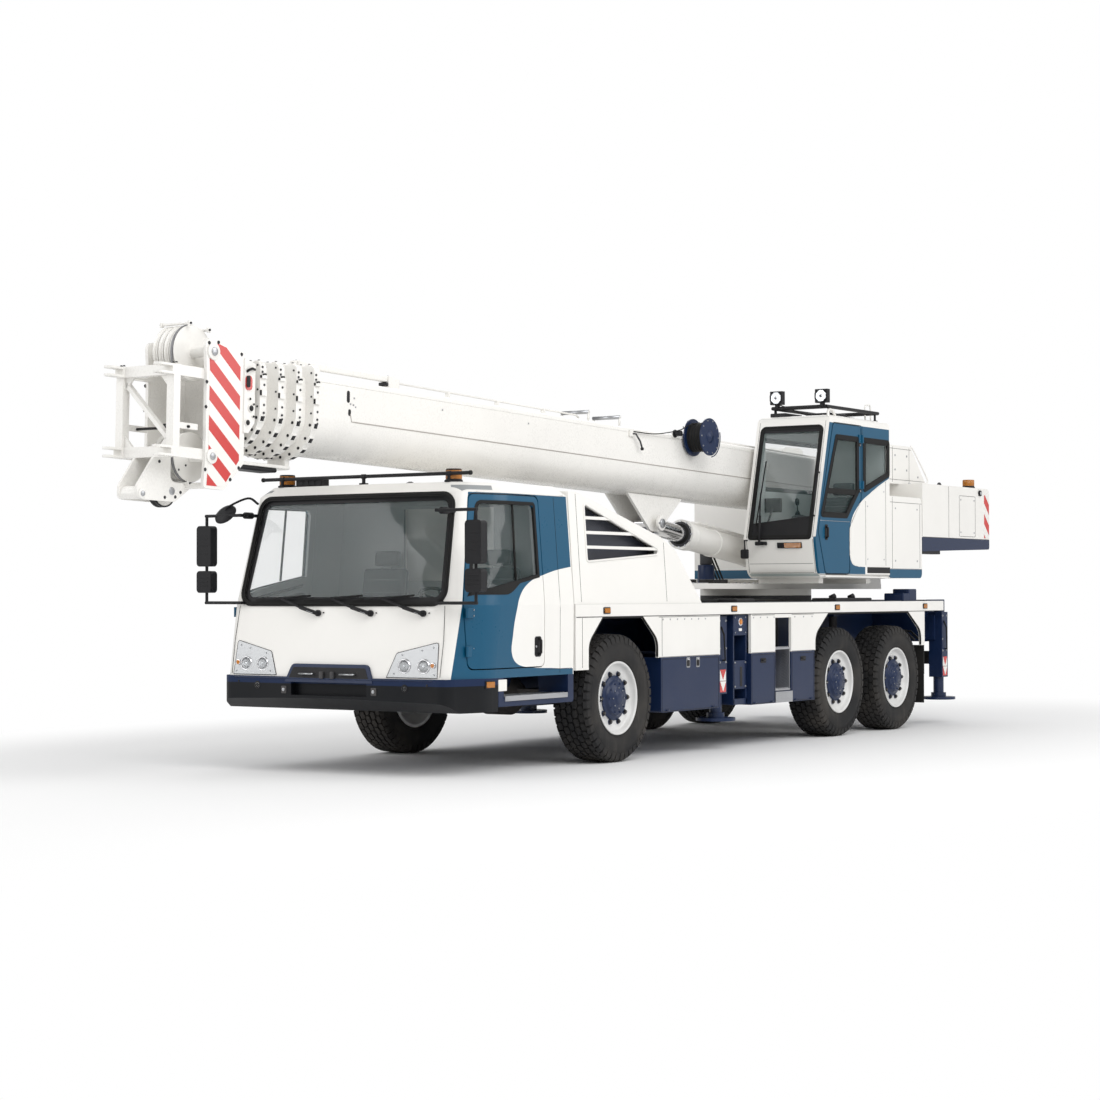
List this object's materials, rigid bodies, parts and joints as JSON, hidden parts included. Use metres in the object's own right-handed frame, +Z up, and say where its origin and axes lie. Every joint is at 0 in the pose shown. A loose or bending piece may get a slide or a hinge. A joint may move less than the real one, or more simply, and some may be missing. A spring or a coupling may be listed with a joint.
{
  "type": "mobile crane",
  "caption": "Road-going telescopic crane: low carrier with a driver's cab and outriggers, slewing upper with its own cab and counterweight, and a boom that lifts and extends.",
  "frame": {"origin": "ground under the middle of the crane's overall length, on its centre line", "axes": "+X towards the driver's cab and the boom head, +Y to the left side, +Z up"},
  "size_m": [14.0982, 3.18, 3.8348],
  "materials": {
    "white_paint": "gloss",
    "navy_paint": "gloss",
    "teal_paint": "gloss",
    "grey_paint": "satin",
    "rim_paint": "gloss",
    "black_plastic": "matte",
    "black_paint": "satin",
    "tyre_rubber": "matte",
    "flap_rubber": "matte",
    "cab_glass": "clear, lightly tinted",
    "cab_trim": "woven",
    "machined_steel": "machined",
    "rod_chrome": "polished",
    "dark_casting": "rough"
  },
  "bodies": {
    "carrier": {"chassis": "navy_paint", "deck": "white_paint", "lockers": "navy_paint", "mudguards": "flap_rubber", "slewing_ring": "machined_steel", "driver_cab": "white_paint", "cab_glass": "cab_glass", "cab_interior": "cab_trim", "bumper": "black_plastic", "cab_fittings": "black_plastic", "engine_cover": "white_paint", "engine": "dark_casting", "axles": "dark_casting"},
    "knuckle_front_left": {"knuckle_front_left": "dark_casting"},
    "knuckle_front_right": {"knuckle_front_right": "dark_casting"},
    "knuckle_rear_left": {"knuckle_rear_left": "dark_casting"},
    "knuckle_rear_right": {"knuckle_rear_right": "dark_casting"},
    "wheel_front_left": {"tyre_front_left": "tyre_rubber", "rim_front_left": "rim_paint"},
    "wheel_front_right": {"tyre_front_right": "tyre_rubber", "rim_front_right": "rim_paint"},
    "wheel_middle_left": {"tyre_middle_left": "tyre_rubber", "rim_middle_left": "rim_paint"},
    "wheel_middle_right": {"tyre_middle_right": "tyre_rubber", "rim_middle_right": "rim_paint"},
    "wheel_rear_left": {"tyre_rear_left": "tyre_rubber", "rim_rear_left": "rim_paint"},
    "wheel_rear_right": {"tyre_rear_right": "tyre_rubber", "rim_rear_right": "rim_paint"},
    "outrigger_beam_front_left": {"outrigger_beam_front_left": "navy_paint"},
    "outrigger_jack_front_left": {"outrigger_jack_front_left": "machined_steel"},
    "outrigger_beam_front_right": {"outrigger_beam_front_right": "navy_paint"},
    "outrigger_jack_front_right": {"outrigger_jack_front_right": "machined_steel"},
    "outrigger_beam_rear_left": {"outrigger_beam_rear_left": "navy_paint"},
    "outrigger_jack_rear_left": {"outrigger_jack_rear_left": "machined_steel"},
    "outrigger_beam_rear_right": {"outrigger_beam_rear_right": "navy_paint"},
    "outrigger_jack_rear_right": {"outrigger_jack_rear_right": "machined_steel"},
    "door_left": {"driver_door_left": "teal_paint"},
    "door_right": {"driver_door_right": "teal_paint"},
    "superstructure": {"turntable": "white_paint", "crane_cab": "white_paint", "crane_cab_glass": "cab_glass", "crane_cab_seat": "cab_trim", "housings": "white_paint", "counterweight": "white_paint", "winch": "navy_paint", "upper_fittings": "black_paint"},
    "crane_door": {"crane_cab_door": "teal_paint"},
    "boom": {"boom_base": "white_paint", "cable_reel": "navy_paint"},
    "section_1": {"boom_section_1": "white_paint"},
    "section_2": {"boom_section_2": "white_paint"},
    "section_3": {"boom_section_3": "white_paint"},
    "section_4": {"boom_section_4": "white_paint", "boom_head": "white_paint", "jib_frame": "white_paint", "jib_lugs": "white_paint", "head_sheaves": "grey_paint"},
    "lift_barrel": {"lift_barrel": "white_paint"},
    "lift_rod": {"lift_rod": "rod_chrome"}
  },
  "joints": [
    {"name": "steer_front_left", "type": "hinge", "parent": "carrier", "child": "knuckle_front_left", "pos_m": [1.942, 1, 0.6], "axis": [0, 0, 1], "range_deg": [-32, 32]},
    {"name": "steer_front_right", "type": "hinge", "parent": "carrier", "child": "knuckle_front_right", "pos_m": [1.942, -1, 0.6], "axis": [0, 0, 1], "range_deg": [-32, 32]},
    {"name": "steer_rear_left", "type": "hinge", "parent": "carrier", "child": "knuckle_rear_left", "pos_m": [-4.161, 1, 0.6], "axis": [0, 0, 1], "range_deg": [-20, 20]},
    {"name": "steer_rear_right", "type": "hinge", "parent": "carrier", "child": "knuckle_rear_right", "pos_m": [-4.161, -1, 0.6], "axis": [0, 0, 1], "range_deg": [-20, 20]},
    {"name": "roll_front_left", "type": "hinge", "parent": "knuckle_front_left", "child": "wheel_front_left", "pos_m": [1.942, 1.18, 0.6], "axis": [0, 1, 0], "continuous": true},
    {"name": "roll_front_right", "type": "hinge", "parent": "knuckle_front_right", "child": "wheel_front_right", "pos_m": [1.942, -1.18, 0.6], "axis": [0, 1, 0], "continuous": true},
    {"name": "roll_middle_left", "type": "hinge", "parent": "carrier", "child": "wheel_middle_left", "pos_m": [-2.688, 1.18, 0.6], "axis": [0, 1, 0], "continuous": true},
    {"name": "roll_middle_right", "type": "hinge", "parent": "carrier", "child": "wheel_middle_right", "pos_m": [-2.688, -1.18, 0.6], "axis": [0, 1, 0], "continuous": true},
    {"name": "roll_rear_left", "type": "hinge", "parent": "knuckle_rear_left", "child": "wheel_rear_left", "pos_m": [-4.161, 1.18, 0.6], "axis": [0, 1, 0], "continuous": true},
    {"name": "roll_rear_right", "type": "hinge", "parent": "knuckle_rear_right", "child": "wheel_rear_right", "pos_m": [-4.161, -1.18, 0.6], "axis": [0, 1, 0], "continuous": true},
    {"name": "extend_front_left", "type": "slide", "parent": "carrier", "child": "outrigger_beam_front_left", "axis": [0, 1, 0], "range_m": [0, 1.7]},
    {"name": "lower_front_left", "type": "slide", "parent": "outrigger_beam_front_left", "child": "outrigger_jack_front_left", "axis": [0, 0, -1], "range_m": [0, 0.45]},
    {"name": "extend_front_right", "type": "slide", "parent": "carrier", "child": "outrigger_beam_front_right", "axis": [0, -1, 0], "range_m": [0, 1.7]},
    {"name": "lower_front_right", "type": "slide", "parent": "outrigger_beam_front_right", "child": "outrigger_jack_front_right", "axis": [0, 0, -1], "range_m": [0, 0.45]},
    {"name": "extend_rear_left", "type": "slide", "parent": "carrier", "child": "outrigger_beam_rear_left", "axis": [0, 1, 0], "range_m": [0, 1.7]},
    {"name": "lower_rear_left", "type": "slide", "parent": "outrigger_beam_rear_left", "child": "outrigger_jack_rear_left", "axis": [0, 0, -1], "range_m": [0, 0.45]},
    {"name": "extend_rear_right", "type": "slide", "parent": "carrier", "child": "outrigger_beam_rear_right", "axis": [0, -1, 0], "range_m": [0, 1.7]},
    {"name": "lower_rear_right", "type": "slide", "parent": "outrigger_beam_rear_right", "child": "outrigger_jack_rear_right", "axis": [0, 0, -1], "range_m": [0, 0.45]},
    {"name": "open_driver_door_left", "type": "hinge", "parent": "carrier", "child": "door_left", "pos_m": [4.297, 1.3, 1.7], "axis": [0, 0, -1], "range_deg": [0, 70]},
    {"name": "open_driver_door_right", "type": "hinge", "parent": "carrier", "child": "door_right", "pos_m": [4.297, -1.3, 1.7], "axis": [0, 0, 1], "range_deg": [0, 70]},
    {"name": "slew", "type": "hinge", "parent": "carrier", "child": "superstructure", "pos_m": [-3.258, 0, 1.55], "axis": [0, 0, 1], "continuous": true},
    {"name": "open_crane_cab_door", "type": "hinge", "parent": "superstructure", "child": "crane_door", "pos_m": [-3.363, 1.319, 2.6], "axis": [0, 0, 1], "range_deg": [0, 80]},
    {"name": "luff", "type": "hinge", "parent": "superstructure", "child": "boom", "pos_m": [-4.958, 0, 3.05], "axis": [0, -1, 0], "range_deg": [0, 76]},
    {"name": "telescope_1", "type": "slide", "parent": "boom", "child": "section_1", "axis": [0.9996, 0, 0.0279], "range_m": [0, 7]},
    {"name": "telescope_2", "type": "slide", "parent": "section_1", "child": "section_2", "axis": [0.9996, 0, 0.0279], "range_m": [0, 7]},
    {"name": "telescope_3", "type": "slide", "parent": "section_2", "child": "section_3", "axis": [0.9996, 0, 0.0279], "range_m": [0, 7]},
    {"name": "telescope_4", "type": "slide", "parent": "section_3", "child": "section_4", "axis": [0.9996, 0, 0.0279], "range_m": [0, 7]},
    {"name": "lift_barrel_tilt", "type": "hinge", "parent": "superstructure", "child": "lift_barrel", "pos_m": [-4.258, 0, 1.88], "axis": [0, -1, 0], "range_deg": [0, 71.46]},
    {"name": "lift_rod_slide", "type": "slide", "parent": "lift_barrel", "child": "lift_rod", "axis": [0.9922, 0, 0.1247], "range_m": [0, 1.6446]}
  ],
  "couplings": [
    {"joint": "steer_front_right", "follows": "steer_front_left", "ratio": 1},
    {"joint": "steer_rear_right", "follows": "steer_rear_left", "ratio": 1},
    {"joint": "telescope_2", "follows": "telescope_1", "ratio": 1},
    {"joint": "telescope_3", "follows": "telescope_1", "ratio": 1},
    {"joint": "telescope_4", "follows": "telescope_1", "ratio": 1},
    {"joint": "lift_barrel_tilt", "follows": "luff", "ratio": 0.93963},
    {"joint": "lift_rod_slide", "follows": "luff", "m_per_rad": 1.2391}
  ]
}
